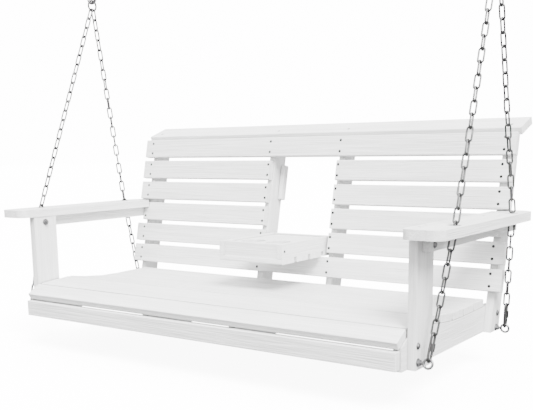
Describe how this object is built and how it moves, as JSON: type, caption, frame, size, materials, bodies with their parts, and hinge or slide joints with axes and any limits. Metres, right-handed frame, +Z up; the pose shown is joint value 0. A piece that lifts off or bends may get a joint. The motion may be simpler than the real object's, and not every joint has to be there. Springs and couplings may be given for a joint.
{
  "type": "porch swing",
  "caption": "White painted wooden porch swing with slatted back and seat, fold-down console with cup holes, wide arms, hung on chains from ceiling hooks",
  "frame": {"origin": "on the ceiling plane, midway between the two ceiling hooks", "axes": "+X along the bench to the sitter's left, +Y to the rear, +Z up"},
  "size_m": [1.504, 0.7404, 1.1393],
  "materials": {
    "white_wood": "white paint over fine grain",
    "zinc_steel": "zinc plated, slightly dulled",
    "dark_screw": "dark coated"
  },
  "bodies": {
    "ceiling_hooks": {"ceiling_hook_left": "zinc_steel", "ceiling_hook_right": "zinc_steel"},
    "bench": {"arm_board_left": "white_wood", "arm_board_right": "white_wood", "arm_rail_left": "white_wood", "arm_rail_right": "white_wood", "back_screws": "dark_screw", "back_slat_1": "white_wood", "back_slat_2_left": "white_wood", "back_slat_2_right": "white_wood", "back_slat_3_left": "white_wood", "back_slat_3_right": "white_wood", "back_slat_4_left": "white_wood", "back_slat_4_right": "white_wood", "back_slat_5_left": "white_wood", "back_slat_5_right": "white_wood", "back_slat_6": "white_wood", "bolt_nuts": "zinc_steel", "bolt_washers": "zinc_steel", "cap_board": "white_wood", "carriage_bolts": "zinc_steel", "chain_rings": "zinc_steel", "console_pivots": "zinc_steel", "eye_bolts": "zinc_steel", "frame_screws": "dark_screw", "front_apron": "white_wood", "front_chain_left": "zinc_steel", "front_chain_right": "zinc_steel", "front_post_left": "white_wood", "front_post_right": "white_wood", "middle_rail_left": "white_wood", "middle_rail_right": "white_wood", "middle_stile_left": "white_wood", "middle_stile_right": "white_wood", "outer_stile_left": "white_wood", "outer_stile_right": "white_wood", "quick_links": "zinc_steel", "rear_chain_left": "zinc_steel", "rear_chain_right": "zinc_steel", "seat_slat_1": "white_wood", "seat_slat_2": "white_wood", "seat_slat_3": "white_wood", "seat_slat_4": "white_wood", "seat_slat_5": "white_wood", "seat_slat_6": "white_wood", "seat_slat_7": "white_wood", "side_rail_left": "white_wood", "side_rail_right": "white_wood", "stop_cleat_left": "white_wood", "stop_cleat_right": "white_wood"},
    "console": {"console_front_board": "white_wood", "console_rear_board": "white_wood", "console_screws": "dark_screw", "console_side_left": "white_wood", "console_side_right": "white_wood", "console_slat_1": "white_wood", "console_slat_2": "white_wood", "console_slat_3": "white_wood", "console_slat_4": "white_wood", "cup_tray": "white_wood"}
  },
  "joints": [
    {"name": "swing", "type": "hinge", "parent": "ceiling_hooks", "child": "bench", "pos_m": [0, 0, -0.05518], "axis": [1, 0, 0], "range_deg": [-25, 25]},
    {"name": "console_fold", "type": "hinge", "parent": "bench", "child": "console", "pos_m": [0, 0.18666, -0.85457], "axis": [-1, 0, 0], "range_deg": [0, 102.5]}
  ]
}
